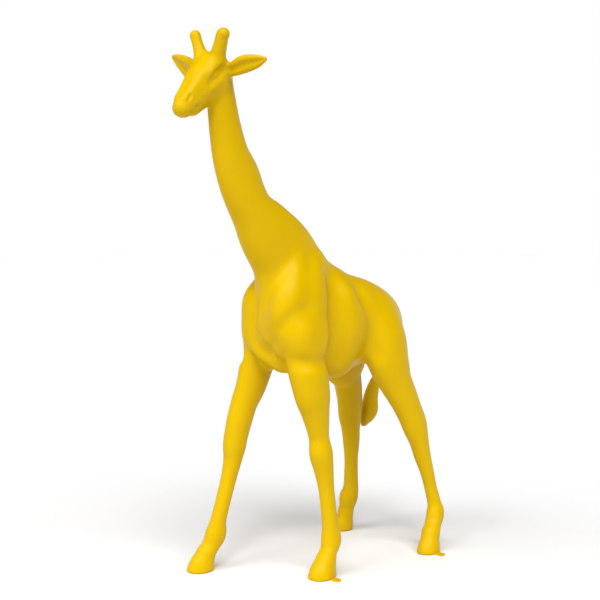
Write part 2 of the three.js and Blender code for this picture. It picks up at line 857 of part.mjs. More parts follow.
function solidOfGeometry(geometry) {
  const plain = geometry.index ? geometry.toNonIndexed() : geometry;
  const array = plain.getAttribute("position").array;
  const positions = [];
  const triangles = [];
  const seen = new Map();
  for (let i = 0; i < array.length; i += 3) {
    const p = Array.from(array.slice(i, i + 3));
    const key = p.map((v) => v.toFixed(4)).join();
    if (!seen.has(key)) {
      seen.set(key, positions.length);
      positions.push(p);
    }
    if ((i / 3) % 3 === 0) triangles.push([]);
    triangles[triangles.length - 1].push(seen.get(key));
  }
  return solidOf(positions, triangles);
}

function geometryOf(solid) {
  const { vertProperties, triVerts } = solid.getMesh();
  const geometry = new THREE.BufferGeometry();
  geometry.setAttribute("position", new THREE.BufferAttribute(vertProperties, 3));
  geometry.setIndex(new THREE.BufferAttribute(triVerts, 1));
  geometry.computeVertexNormals();
  return geometry;
}

// A flat lug with a round hole, lying along +X: its shown end is at +LUG_SHOWN, its root is inside the hoof.
function lugShape(grow) {
  const half = LUG_WIDTH / 2 + grow;
  const root = -LUG_BURIED - grow;
  const corner = LUG_CORNER + grow;
  const end = LUG_SHOWN + grow;
  const shape = new THREE.Shape();
  shape.moveTo(root, -half);
  shape.lineTo(end - corner, -half);
  shape.absarc(end - corner, -half + corner, corner, -Math.PI / 2, 0, false);
  shape.absarc(end - corner, half - corner, corner, 0, Math.PI / 2, false);
  shape.lineTo(root, half);
  shape.closePath();
  return shape;
}

function lugGeometry() {
  const shape = lugShape(0);
  const hole = new THREE.Path();
  hole.absarc(LUG_SHOWN - LUG_WIDTH / 2, 0, LUG_HOLE / 2, 0, Math.PI * 2, true);
  shape.holes.push(hole);
  return new THREE.ExtrudeGeometry(shape, { depth: LUG_THICKNESS, bevelEnabled: false, curveSegments: 8 });
}

function lugSlot() {
  const slot = new THREE.ExtrudeGeometry(lugShape(FIT_GAP), {
    depth: LUG_THICKNESS + 2 * FIT_GAP,
    bevelEnabled: false,
    curveSegments: 8,
  });
  return slot.translate(0, 0, -FIT_GAP);
}

// Where each lug leaves its hoof, in hundredths of the height. Both point straight out to the left.
const LUGS = [
  { name: "front_fixing_lug", at: [11.15, 0.7] },
  { name: "hind_fixing_lug", at: [13.95, 27.2] },
];

const yellowPaint = new THREE.MeshStandardMaterial({ color: 0xf2c500, roughness: 0.35, metalness: 0 });
const paintedSteel = new THREE.MeshStandardMaterial({ color: 0xe6ba00, roughness: 0.5, metalness: 0 });

const chains = giraffeChains();
const field = fieldOf(chains);
const carved = thin(field, relax(field, marchingCubes(field, chains), RELAX_ROUNDS), MOST_TRIANGLES);
const hundredth = STATUE_HEIGHT / Math.max(...carved.positions.map((p) => p[2]));
const inMillimetres = carved.positions.map((p) => p.map((v) => v * hundredth));
const ground = new THREE.BoxGeometry(4 * STATUE_HEIGHT, 4 * STATUE_HEIGHT, STATUE_HEIGHT);
ground.translate(0, 0, -STATUE_HEIGHT / 2);
let body = solidOf(inMillimetres, carved.triangles).subtract(solidOfGeometry(ground));

const statue = new THREE.Group();
for (const { name, at } of LUGS) {
  const [x, y] = at.map((v) => v * hundredth);
  body = body.subtract(solidOfGeometry(lugSlot().translate(x, y, 0)));
  const lug = new THREE.Mesh(lugGeometry(), paintedSteel);
  lug.name = name;
  lug.position.set(x, y, 0);
  statue.add(lug);
}

const giraffe = new THREE.Mesh(geometryOf(body), yellowPaint);
giraffe.name = "giraffe";
statue.add(giraffe);

// The origin is on the ground, under the middle of the whole statue.
const middle = new THREE.Box3().setFromObject(statue).getCenter(new THREE.Vector3());
statue.position.set(-middle.x, -middle.y, 0);

export default statue;
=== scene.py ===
"""A walking giraffe, a garden statue cast in one piece and painted a glossy yellow.

The casting's fine surface is drawn here from chains of oval sections, as its CAD solid is, with
the relief that only shows from close by. The carving is given in hundredths of the height
that the figure is drawn at: x to its left, y to its back, z up. Each section of a chain is the x,
y and z of its middle, its half depth and its half width.
"""

import math

import bpy
import numpy as np
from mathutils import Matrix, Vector


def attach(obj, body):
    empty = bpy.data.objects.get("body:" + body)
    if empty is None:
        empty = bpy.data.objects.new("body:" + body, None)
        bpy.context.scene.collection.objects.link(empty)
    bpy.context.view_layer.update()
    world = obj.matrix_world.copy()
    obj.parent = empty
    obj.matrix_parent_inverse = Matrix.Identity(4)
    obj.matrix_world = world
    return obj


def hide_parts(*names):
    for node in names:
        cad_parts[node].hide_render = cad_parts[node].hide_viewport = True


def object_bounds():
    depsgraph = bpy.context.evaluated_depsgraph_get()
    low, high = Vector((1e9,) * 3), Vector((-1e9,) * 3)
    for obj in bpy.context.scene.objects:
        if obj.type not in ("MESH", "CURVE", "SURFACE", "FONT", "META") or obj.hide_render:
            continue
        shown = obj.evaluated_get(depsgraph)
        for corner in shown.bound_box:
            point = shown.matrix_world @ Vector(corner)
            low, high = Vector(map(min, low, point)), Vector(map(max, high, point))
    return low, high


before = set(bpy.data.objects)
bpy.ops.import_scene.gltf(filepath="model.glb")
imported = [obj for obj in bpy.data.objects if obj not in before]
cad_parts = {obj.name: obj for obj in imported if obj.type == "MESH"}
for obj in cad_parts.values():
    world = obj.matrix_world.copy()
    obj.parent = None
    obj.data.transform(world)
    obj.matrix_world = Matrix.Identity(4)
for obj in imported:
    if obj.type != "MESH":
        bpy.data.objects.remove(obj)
cad_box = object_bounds()

MILLIMETRE = 0.001
# One hundredth of the drawn height, and where the carving's origin lies, both as in the CAD.
HUNDREDTH = 23.2354 * MILLIMETRE
CARVING_ORIGIN = np.array([-16.9437, -85.6898, 0.0]) * MILLIMETRE
# Keeps a division from being by nothing.
TINY = 1e-9
# The distance that every place starts with, before the chains come near it.
FAR = 50.0
# Sections are filled in so many times between two given ones.
STEPS_PER_SPAN = 6
# A chain is measured this far out from its surface, besides the softness of its join.
REACH = 3.0
# A flat oval's slope is taken as no less than this, so that its distance stays within bounds.
LEAST_SLOPE = 0.2

# The body.

TRUNK = [
    [0, -1.0, 45.8, 5.0, 4.2],
    [0, 2.5, 47.0, 9.0, 5.4],
    [0, 6.5, 46.9, 11.1, 6.2],
    [0, 10.0, 46.2, 10.4, 6.8],
    [0, 14.0, 46.0, 9.4, 6.9],
    [0, 18.0, 45.9, 8.5, 6.2],
    [0, 22.5, 45.4, 7.0, 5.5],
    [0, 25.6, 44.6, 4.8, 4.2],
    [0, 28.0, 44.2, 2.8, 2.8],
]
NECK = [
    [0, 2.4, 50.0, 8.2, 4.8],
    [0, 1.1, 54.5, 8.1, 4.6],
    [0, -1.25, 59.2, 7.2, 4.3],
    [0, -5.3, 63.5, 6.0, 3.9],
    [0, -8.5, 67.0, 4.5, 3.4],
    [0, -10.6, 70.2, 4.3, 3.05],
    [0, -12.15, 73.6, 4.4, 2.75],
    [0, -13.9, 77.2, 3.75, 2.55],
    [0, -15.0, 81.0, 3.3, 2.35],
    [0, -15.8, 85.0, 2.9, 2.25],
    [0, -16.5, 89.0, 2.6, 2.25],
    [0, -17.0, 91.5, 2.4, 2.2],
]
FRONT_LEFT_LEG = [
    [5.2, -1.4, 43.0, 3.6, 2.8],
    [6.0, -1.1, 39.4, 4.0, 3.1],
    [6.65, -0.3, 34.4, 3.8, 2.75],
    [6.75, 0.3, 31.4, 3.05, 2.4],
    [6.9, 0.8, 28.4, 2.4, 2.05],
    [7.0, 1.2, 25.6, 1.95, 1.85],
    [7.2, 1.5, 22.8, 2.25, 2.15],
    [7.35, 2.0, 20.0, 1.9, 1.85],
    [7.55, 2.5, 16.4, 1.55, 1.45],
    [7.75, 2.9, 12.6, 1.5, 1.4],
    [7.95, 3.2, 9.0, 1.6, 1.5],
    [8.0, 3.4, 6.4, 2.05, 1.75],
    [8.2, 2.6, 4.6, 1.6, 1.6],
    [8.4, 1.7, 3.2, 1.8, 1.8],
]
FRONT_RIGHT_LEG = [
    [-5.2, -1.8, 43.0, 3.4, 2.7],
    [-6.0, -2.3, 39.4, 3.6, 2.8],
    [-6.5, -3.5, 34.8, 3.15, 2.5],
    [-7.0, -4.8, 31.5, 2.7, 2.3],
    [-7.4, -5.7, 28.2, 2.6, 2.2],
    [-7.8, -6.2, 25.4, 2.4, 2.15],
    [-8.0, -6.5, 23.2, 2.25, 2.1],
    [-8.2, -6.8, 20.6, 1.8, 1.75],
    [-8.5, -7.65, 16.8, 1.5, 1.45],
    [-8.75, -8.7, 13.0, 1.45, 1.4],
    [-9.1, -9.65, 9.2, 1.55, 1.45],
    [-9.3, -10.15, 6.6, 2.1, 1.75],
    [-9.6, -11.0, 4.8, 1.75, 1.7],
    [-9.8, -12.0, 3.4, 1.75, 1.75],
]
HIND_LEFT_LEG = [
    [3.4, 20.8, 45.8, 4.8, 3.0],
    [5.2, 20.8, 42.2, 5.4, 3.2],
    [6.3, 21.1, 38.0, 4.7, 2.9],
    [7.0, 22.3, 34.4, 3.8, 2.5],
    [7.6, 24.0, 31.0, 3.3, 2.25],
    [8.05, 25.4, 28.0, 3.0, 2.05],
    [8.5, 26.5, 25.2, 2.9, 1.95],
    [8.85, 27.35, 22.2, 2.2, 1.75],
    [9.05, 28.3, 18.8, 1.75, 1.6],
    [9.45, 29.3, 15.4, 1.4, 1.35],
    [9.7, 30.2, 12.0, 1.3, 1.2],
    [10.1, 30.9, 8.8, 1.5, 1.35],
    [10.4, 30.8, 6.9, 1.95, 1.65],
    [10.8, 29.6, 5.0, 1.65, 1.65],
    [11.2, 28.5, 3.6, 1.85, 1.85],
]
HIND_RIGHT_LEG = [
    [-3.4, 20.8, 45.8, 4.8, 3.0],
    [-5.2, 20.8, 42.2, 5.4, 3.2],
    [-6.3, 21.0, 38.2, 5.4, 2.9],
    [-6.7, 22.1, 36.0, 4.6, 2.65],
    [-7.1, 23.2, 34.2, 3.5, 2.4],
    [-7.7, 24.5, 31.0, 3.2, 2.25],
    [-8.3, 25.5, 28.2, 3.05, 2.1],
    [-8.9, 26.2, 25.4, 2.9, 1.95],
    [-9.3, 26.8, 22.4, 2.2, 1.75],
    [-9.6, 27.3, 19.0, 1.8, 1.65],
    [-9.9, 27.6, 15.6, 1.45, 1.4],
    [-10.3, 28.0, 12.2, 1.5, 1.4],
    [-10.7, 28.3, 8.8, 1.7, 1.55],
    [-11.0, 28.0, 7.0, 2.1, 1.75],
    [-11.3, 27.8, 5.1, 1.6, 1.6],
    [-11.6, 27.7, 3.7, 1.65, 1.65],
]
TAIL = [
    [0, 27.0, 46.6, 2.0, 2.0],
    [-0.6, 29.4, 44.8, 1.4, 1.4],
    [-1.9, 31.7, 41.8, 1.05, 1.05],
    [-4.3, 32.7, 38.2, 0.85, 0.85],
    [-5.4, 33.2, 35.0, 0.85, 0.85],
    [-7.2, 32.5, 32.4, 0.95, 0.95],
    [-7.9, 32.1, 30.2, 1.3, 1.3],
    [-8.3, 31.8, 28.0, 1.55, 1.55],
    [-8.5, 31.6, 25.2, 1.7, 1.7],
    [-9.2, 30.7, 22.6, 0.6, 0.6],
]

# Each hoof: the middle of its sole, the middle of its coronet, half length and half width.
HOOVES = [
    ([8.85, 0.1], [8.55, 1.3], 2.75, 2.35),
    ([-10.2, -13.3], [-9.9, -12.3], 2.6, 2.25),
    ([11.9, 27.0], [11.4, 28.0], 2.5, 2.1),
    ([-12.1, 27.1], [-11.7, 27.7], 2.3, 2.1),
]
CORONET_UP = 2.7
HOOF_JOIN = 0.5
# Down a hoof: the way from the coronet's middle to the sole's, the height, and the shares of its
# length and width.
HOOF_STAGES = [
    (0, CORONET_UP, 0.72, 0.76),
    (0.6, CORONET_UP * 0.42, 0.94, 0.94),
    (1, 0, 1, 1),
    (1, -0.8, 0.98, 0.98),
]

# Muscles, given for the left side: softness of the join, the sides they are on, then the sections.
BOTH = (1, -1)
LEFT = (1,)
RIGHT = (-1,)
MUSCLES = {
    "shoulder blade": (1.8, BOTH, [
        [1.8, 4.4, 57.6, 2.4, 1.8],
        [4.6, 0.9, 53.0, 4.0, 2.5],
        [5.3, 0.4, 49.4, 3.8, 2.6],
    ]),
    "left neck root": (1.5, LEFT, [
        [3.0, -1.0, 58.6, 1.5, 1.5],
        [3.7, -2.4, 55.4, 2.5, 2.4],
        [4.2, -3.7, 52.0, 3.2, 3.0],
        [4.0, -4.4, 49.2, 3.3, 3.1],
        [3.0, -4.5, 47.2, 2.8, 2.6],
    ]),
    "right neck root": (1.4, RIGHT, [
        [2.6, -0.6, 57.0, 1.8, 1.6],
        [3.2, -2.0, 54.0, 2.5, 2.3],
        [4.2, -3.3, 50.8, 3.3, 3.1],
        [4.4, -3.2, 47.6, 3.5, 3.3],
    ]),
    "breast": (1.4, BOTH, [
        [1.6, -3.6, 46.4, 2.6, 2.0],
        [1.6, -3.4, 43.6, 2.4, 2.0],
    ]),
    "left upper arm": (2.2, LEFT, [
        [5.2, -2.3, 45.0, 4.1, 3.7],
        [5.0, 0.4, 44.4, 4.0, 3.7],
    ]),
    "right upper arm": (1.3, RIGHT, [
        [4.6, -2.8, 44.9, 3.6, 3.4],
        [4.9, 0.4, 44.9, 4.3, 3.8],
    ]),
    "breast bulb": (0.9, LEFT, [
        [0.5, -5.0, 46.4, 1.3, 1.4],
        [0.7, -5.2, 44.6, 1.4, 1.5],
    ]),
    "right breast fold": (0.6, RIGHT, [
        [5.0, -4.8, 44.6, 1.5, 1.5],
        [2.2, -4.5, 41.6, 1.6, 1.6],
        [-1.0, -3.0, 39.5, 1.6, 1.5],
    ]),
    "left breast fold": (0.6, LEFT, [
        [4.6, -4.4, 43.4, 1.6, 1.6],
        [2.4, -4.0, 41.4, 1.5, 1.5],
        [0.6, -2.4, 39.3, 1.4, 1.4],
    ]),
    "brisket": (1.4, BOTH, [
        [0.8, -2.4, 41.6, 1.8, 1.8],
        [2.4, -2.2, 39.4, 1.6, 1.5],
    ]),
    "ribs": (1.4, BOTH, [
        [3.4, 9.8, 50.6, 3.6, 3.2],
        [3.9, 10.4, 44.6, 4.4, 3.5],
        [2.8, 9.8, 39.6, 3.8, 3.1],
    ]),
    "hip": (1.6, BOTH, [
        [2.6, 17.6, 48.8, 2.8, 2.4],
        [2.6, 21.6, 47.8, 2.6, 2.3],
    ]),
    "buttock": (1.6, BOTH, [
        [2.6, 23.4, 46.0, 2.7, 2.4],
        [4.2, 23.6, 41.6, 2.9, 2.4],
        [5.8, 24.0, 37.0, 2.2, 1.8],
    ]),
}

# Grooves between the muscles, cut the same way.
GROOVES = {
    "behind the shoulder": (3.4, BOTH, [
        [6.2, 6.6, 55.6, 0.6, 0.6],
        [8.3, 6.6, 47.6, 0.9, 0.9],
        [7.9, 6.4, 40.4, 0.8, 0.8],
    ]),
    "flank": (2.2, BOTH, [
        [6.2, 14.0, 52.4, 0.8, 0.8],
        [8.1, 16.0, 46.4, 1.0, 1.0],
        [8.2, 16.0, 40.4, 0.9, 0.9],
    ]),
    "under the upper arm": (2.0, BOTH, [
        [7.8, -5.4, 40.2, 0.5, 0.5],
        [9.5, -1.6, 40.0, 0.6, 0.6],
        [9.1, 2.4, 40.0, 0.5, 0.5],
    ]),
    "over the upper arm": (1.5, LEFT, [
        [5.6, -7.6, 46.2, 0.3, 0.3],
        [7.2, -6.9, 48.2, 0.5, 0.5],
        [8.6, -5.0, 49.8, 0.5, 0.5],
        [9.2, -1.6, 50.4, 0.4, 0.4],
    ]),
    "beside the breast": (1.0, RIGHT, [
        [1.0, -7.3, 54.0, 0.3, 0.3],
        [1.9, -7.1, 49.0, 0.5, 0.5],
        [2.4, -6.8, 45.4, 0.4, 0.4],
    ]),
    "under the bulb": (0.5, LEFT, [
        [-1.1, -7.0, 45.4, 0.35, 0.35],
        [-0.2, -6.6, 43.8, 0.4, 0.4],
        [1.6, -6.0, 42.0, 0.45, 0.45],
        [2.6, -4.9, 40.6, 0.4, 0.4],
    ]),
}

# The mane is a low narrow ridge down the nape.
MANE = [
    [0, -14.9, 90.6, 0.9, 0.55],
    [0, -14.1, 86.6, 0.9, 0.55],
    [0, -12.9, 82.0, 0.9, 0.55],
    [0, -11.4, 78.0, 0.9, 0.55],
    [0, -10.0, 74.4, 0.8, 0.5],
    [0, -8.7, 71.8, 0.6, 0.45],
]

# What the body is joined from, in order, with the softness of each join.
BODY = [
    (TRUNK, 0.1),
    (NECK, 3.0),
    (FRONT_LEFT_LEG, 1.6),
    (FRONT_RIGHT_LEG, 1.6),
    (HIND_LEFT_LEG, 1.8),
    (HIND_RIGHT_LEG, 1.8),
]
TAIL_AND_MANE = [(TAIL, 0.8), (MANE, 0.7)]

# The head has its own frame: f runs down the face to the nose, s to its left, t out of the forehead.
HEAD_AT = np.array([0, -18.6, 91.4])
HEAD_TURN = math.radians(6)
HEAD_PITCH = math.radians(44)
HEAD_TILT = math.radians(5)
FACE = [
    [-0.6, 0, 0.2, 3.2, 2.6],
    [1.6, 0, 0.0, 3.25, 2.85],
    [3.8, 0, -0.25, 2.85, 2.6],
    [6.0, 0, -0.45, 2.5, 2.2],
    [7.9, 0, -0.3, 2.05, 1.9],
    [8.9, 0, -0.2, 1.7, 1.75],
]
CHEEK = [
    [0.2, 1.1, -1.6, 2.2, 1.5],
    [2.6, 1.0, -1.5, 1.6, 1.1],
]
JAW = [
    [4.4, 0.3, -2.4, 1.1, 0.8],
    [7.2, 0.3, -1.9, 0.95, 0.9],
]
BROW = [
    [-0.4, 2.0, 1.9, 0.8, 0.8],
    [1.4, 2.15, 1.6, 0.75, 0.75],
]
EYE_SOCKET = [
    [-0.4, 3.4, 0.7, 0.75, 0.75],
    [1.1, 3.35, 0.5, 1.0, 0.95],
    [3.0, 3.2, 0.4, 0.85, 0.8],
]
EYEBALL = [
    [0.7, 2.1, 0.6, 0.58, 0.58],
    [1.1, 2.1, 0.55, 0.58, 0.58],
]
CHEEKBONE = [
    [0.6, 2.0, -0.8, 0.7, 0.7],
    [2.6, 1.95, -0.7, 0.75, 0.7],
    [4.6, 1.6, -0.5, 0.6, 0.55],
]
FACE_EDGE = [
    [0.4, 1.5, 2.0, 0.8, 0.75],
    [3.0, 1.25, 1.7, 0.8, 0.7],
    [6.0, 1.0, 1.25, 0.75, 0.65],
    [7.8, 0.95, 0.95, 0.7, 0.6],
]
NOSTRIL = [
    [7.4, 1.75, 1.3, 0.32, 0.3],
    [8.3, 1.85, 1.0, 0.3, 0.28],
]
MOUTH = [
    [7.2, 2.05, -1.2, 0.25, 0.3],
    [8.8, 1.95, -1.2, 0.25, 0.3],
    [10.3, 0.8, -1.2, 0.25, 0.25],
]
# Horns and ears are given from the head's middle too, but upright: left, back and up.
LEFT_OSSICONE = [
    [1.6, 0.0, 1.6, 1.7, 1.6],
    [2.0, -0.4, 3.2, 1.4, 1.35],
    [2.65, -0.6, 5.0, 1.18, 1.16],
    [3.05, -0.7, 6.4, 1.12, 1.12],
    [3.3, -0.7, 6.65, 1.08, 1.08],
]
RIGHT_OSSICONE = [
    [1.8, 0.0, 1.6, 1.6, 1.5],
    [2.2, -0.4, 3.2, 1.25, 1.2],
    [2.8, -0.6, 4.8, 0.98, 0.95],
    [3.45, -0.7, 6.35, 0.98, 0.95],
]
LEFT_EAR = [
    [1.8, 1.7, 0.5, 0.95, 0.9],
    [3.9, 1.6, 0.95, 1.25, 0.8],
    [6.4, 1.6, 1.8, 1.55, 0.72],
    [8.9, 1.7, 2.3, 1.2, 0.6],
    [10.8, 1.8, 2.7, 0.45, 0.4],
]
RIGHT_EAR = [
    [2.2, 1.6, -0.8, 1.95, 0.9],
    [4.4, 1.2, -0.3, 2.5, 0.8],
    [6.8, 1.2, 1.0, 2.1, 0.72],
    [9.2, 1.4, 2.1, 1.3, 0.6],
    [10.9, 1.6, 2.8, 0.5, 0.4],
]
EAR_FACING = [0.12, -0.93, -0.34]
OSSICONES = {1: LEFT_OSSICONE, -1: RIGHT_OSSICONE}
EARS = {1: LEFT_EAR, -1: RIGHT_EAR}

# How softly the forms of the head join, in the order that they are added or cut.
FACE_JOIN = 1.6
RAISED_FORMS = [(JAW, 0.8), (CHEEK, 1.2), (BROW, 0.9), (FACE_EDGE, 0.9)]
OSSICONE_JOIN = 1.0
EAR_JOIN = 0.9
CUP_JOIN = 0.35
# The ear's cup lies before its middle by this many of its half thickness. Its depth and width are
# shares of the ear's.
CUP_FORWARD = 1.3
CUP_DEPTH = 0.5
CUP_WIDTH = 0.8
# The small forms that follow, each with its softness and whether it is cut out.
SMALL_FORMS = [
    (EYE_SOCKET, 0.6, True),
    (EYEBALL, 0.3, False),
    (CHEEKBONE, 0.7, False),
    (NOSTRIL, 0.3, True),
    (MOUTH, 0.5, True),
]


def curved(sections):
    """The sections of a chain, made denser along a smooth curve."""
    rows = np.array(sections, float)
    padded = np.vstack([rows[:1], rows, rows[-1:]])
    t = (np.arange(1, STEPS_PER_SPAN + 1) / STEPS_PER_SPAN)[:, None]
    ease = t * t * (3 - 2 * t)
    made = [rows[:1]]
    for before, start, end, after in zip(padded, padded[1:], padded[2:], padded[3:]):
        out = (end - before) / 2
        into = (after - start) / 2
        made.append(start + (end - start) * ease + t * (1 - t) * ((1 - t) * out - t * into))
    return np.vstack(made)


def chain(sections, soft, across=(1, 0, 0), hollow=False):
    """A chain of oval sections, wide along the axis across, joined softly to what came before it."""
    rows = curved(sections)
    reach = rows[:, 3:].max() + soft + REACH
    return {
        "rows": rows,
        "soft": soft,
        "across": np.array(across, float),
        "hollow": hollow,
        "low": rows[:, :3].min(0) - reach,
        "high": rows[:, :3].max(0) + reach,
    }


def chain_distance(link, points):
    """How far each point is from the chain's surface, below zero inside it."""
    nearest = np.full(len(points), FAR)
    for start, end in zip(link["rows"], link["rows"][1:]):
        run = end[:3] - start[:3]
        offset = points - start[:3]
        t = np.clip(offset @ run / max(run @ run, TINY), 0, 1)
        deep = start[3] + (end[3] - start[3]) * t
        wide = start[4] + (end[4] - start[4]) * t
        offset -= t[:, None] * run
        sideways = offset @ link["across"]
        upright = np.maximum(np.einsum("ij,ij->i", offset, offset) - sideways**2, 0)
        squeeze = deep / wide
        flattened = (sideways * squeeze) ** 2
        oval = np.sqrt(upright + flattened)
        slope = np.sqrt(upright + flattened * squeeze**2) / (oval + TINY)
        np.minimum(nearest, (oval - deep) / np.maximum(slope, LEAST_SLOPE), out=nearest)
    return nearest


def melt(a, b, soft):
    """The smaller of two distances, with a rounded valley where they meet."""
    near = np.maximum(soft - np.abs(a - b), 0) / soft
    return np.minimum(a, b) - near**2 * soft / 4


def mirrored(sections, side):
    """Sections given for the left side, on the side asked for."""
    return [[row[0] * side, *row[1:]] for row in sections]


def turned(direction, side=1):
    """Turns a direction given as left, back and up of the upright head to the statue's own axes."""
    left, back, up = direction
    across = left * side * math.cos(HEAD_TILT) + up * math.sin(HEAD_TILT)
    return np.array(
        [
            across * math.cos(HEAD_TURN) - back * math.sin(HEAD_TURN),
            across * math.sin(HEAD_TURN) + back * math.cos(HEAD_TURN),
            up * math.cos(HEAD_TILT) - left * side * math.sin(HEAD_TILT),
        ]
    )


def on_head(rows, side):
    """Places upright head sections."""
    return [[*(turned(row[:3], side) + HEAD_AT), *row[3:]] for row in rows]


def on_face(rows, side):
    """Places sections given down the face."""
    upright = [
        [
            s,
            -f * math.cos(HEAD_PITCH) - t * math.sin(HEAD_PITCH),
            t * math.cos(HEAD_PITCH) - f * math.sin(HEAD_PITCH),
            *sizes,
        ]
        for f, s, t, *sizes in rows
    ]
    return on_head(upright, side)


def cup_sections(ear, facing):
    """The hollow of an ear, on the side that it faces."""
    return [
        [*(np.array(row[:3]) + facing * row[4] * CUP_FORWARD), row[3] * CUP_DEPTH, row[4] * CUP_WIDTH]
        for row in ear[1:]
    ]


def head_chains():
    left = turned([1, 0, 0])
    made = [chain(on_face(FACE, 1), FACE_JOIN, left)]
    for side in BOTH:
        made += [chain(on_face(form, side), soft, left) for form, soft in RAISED_FORMS]
        made.append(chain(on_head(OSSICONES[side], side), OSSICONE_JOIN, left))
        facing = turned(EAR_FACING, side)
        ear = on_head(EARS[side], side)
        made.append(chain(ear, EAR_JOIN, facing))
        made.append(chain(cup_sections(ear, facing), CUP_JOIN, facing, True))
        made += [chain(on_face(form, side), soft, left, cut) for form, soft, cut in SMALL_FORMS]
    return made


def hoof_chain(sole, coronet, long, wide):
    sections = []
    for way, height, long_share, wide_share in HOOF_STAGES:
        middle = [top + (bottom - top) * way for top, bottom in zip(coronet, sole)]
        sections.append([*middle, height, long * long_share, wide * wide_share])
    return chain(sections, HOOF_JOIN)


def giraffe_chains():
    made = [chain(sections, soft) for sections, soft in BODY]
    for soft, sides, sections in MUSCLES.values():
        made += [chain(mirrored(sections, side), soft) for side in sides]
    for soft, sides, sections in GROOVES.values():
        made += [chain(mirrored(sections, side), soft, (1, 0, 0), True) for side in sides]
    made += [chain(sections, soft) for sections, soft in TAIL_AND_MANE]
    made += [hoof_chain(*hoof) for hoof in HOOVES]
    return made + head_chains()


CHAINS = giraffe_chains()
# How far the rim of a sole is rounded.
SOLE_EDGE = 0.25


def carving(points):
    """The distance from each point to the giraffe's surface, with its soles cut flat at z = 0."""
    distance = np.full(len(points), FAR)
    for link in CHAINS:
        near = np.all((points > link["low"]) & (points < link["high"]), axis=1)
        if not near.any():
            continue
        own = chain_distance(link, points[near])
        before = distance[near]
        if link["hollow"]:
            distance[near] = -melt(-before, own, link["soft"])
        else:
            distance[near] = melt(before, own, link["soft"])
    return -melt(-distance, points[:, 2], SOLE_EDGE)


# The surface.

# The size of the lattice's cell at each height, and the lattice's middle line, front to back.
CELLS = [[-0.6, 0.27], [5, 0.27], [8, 0.36], [82, 0.36], [85, 0.17], [101.5, 0.17]]
LATTICE_MIDDLE = [[-0.6, 8.5], [52, 8.5], [80, -18], [102, -19]]
# How many points the lattice has from side to side and from front to back.
LATTICE_ACROSS = 168
LATTICE_ALONG = 204
# The lattice is gone through in blocks of this many points each way.
BLOCK = 4
# A block is looked into only where the surface may pass this many cells from its middle.
BLOCK_REACH = 4.2
# The slope is felt this far from a point, and a point moves no further than this in one round.
SETTLE_STEP = 0.02
LONGEST_MOVE = 0.2
LEAST_SLOPE_SQUARED = 0.05
# The points settle a few times first. After that, each round evens them out and settles them again.
SETTLE_FIRST = 2
EVEN_ROUNDS = 3
EVEN_SHARE = 0.5
# Going back a little further than in keeps the paint from thinning the limbs.
FLOW_IN = 0.5
FLOW_BACK = -0.53
FLOW_ROUNDS = 24
# The casting stays this far inside the solid's box.
BOX_MARGIN = 0.05 * MILLIMETRE


def lattice_levels():
    heights = [CELLS[0][0]]
    while heights[-1] < CELLS[-1][0]:
        heights.append(heights[-1] + float(np.interp(heights[-1], *zip(*CELLS))))
    heights += [heights[-1] + CELLS[-1][1]] * (-len(heights) % BLOCK)
    return np.array(heights)


def lattice_points(indices, heights):
    """The places of lattice points given as rows of three indices, which may lie between points."""
    level = np.arange(len(heights))
    z = np.interp(indices[:, 2], level, heights)
    cell = np.interp(z, *zip(*CELLS))
    middle = np.interp(z, *zip(*LATTICE_MIDDLE))
    x = (indices[:, 0] - (LATTICE_ACROSS - 1) / 2) * cell
    y = (indices[:, 1] - (LATTICE_ALONG - 1) / 2) * cell + middle
    return np.stack([x, y, z], axis=1), cell


def counted(sizes):
    """Every row of three indices below the given sizes."""
    return np.stack(np.meshgrid(*[np.arange(n) for n in sizes], indexing="ij"), axis=-1).reshape(-1, 3)


def lattice_values(heights):
    """The carving's distance at every lattice point, exact only near the surface."""
    shape = (LATTICE_ACROSS, LATTICE_ALONG, len(heights))
    blocks = counted([n // BLOCK for n in shape])
    middles, cell = lattice_points(blocks * BLOCK + (BLOCK - 1) / 2, heights)
    rough = carving(middles)
    values = rough.reshape([n // BLOCK for n in shape])
    for axis in range(3):
        values = np.repeat(values, BLOCK, axis=axis)
    inner = counted([BLOCK] * 3)
    close = blocks[np.abs(rough) < BLOCK_REACH * cell]
    indices = (close[:, None] * BLOCK + inner[None]).reshape(-1, 3)
    places, _ = lattice_points(indices.astype(float), heights)
    values[tuple(indices.T)] = carving(places)
    return values


def surface_net(values, heights):
    """One vertex in each cell that the surface crosses, and one quad around each crossed edge."""
    corners = []
    crossings = []
    for axis in range(3):
        lower = values.take(range(values.shape[axis] - 1), axis=axis)
        upper = values.take(range(1, values.shape[axis]), axis=axis)
        at = np.argwhere((lower < 0) != (upper < 0))
        a = lower[tuple(at.T)]
        b = upper[tuple(at.T)]
        place = at.astype(float)
        place[:, axis] += a / (a - b)
        crossings.append(np.repeat(lattice_points(place, heights)[0], 4, axis=0))
        first, second = (axis + 1) % 3, (axis + 2) % 3
        around = np.repeat(at[:, None], 4, axis=1)
        around[:, [0, 3], first] -= 1
        around[:, [0, 1], second] -= 1
        inwards = a > 0
        around[inwards] = around[inwards][:, ::-1]
        corners.append(around.reshape(-1, 3))
    corners = np.vstack(corners)
    crossings = np.vstack(crossings)
    keys = np.ravel_multi_index(tuple(corners.T), values.shape)
    _, number = np.unique(keys, return_inverse=True)
    count = np.bincount(number)
    vertices = np.stack([np.bincount(number, crossings[:, k]) / count for k in range(3)], axis=1)
    return vertices, number.reshape(-1, 4)


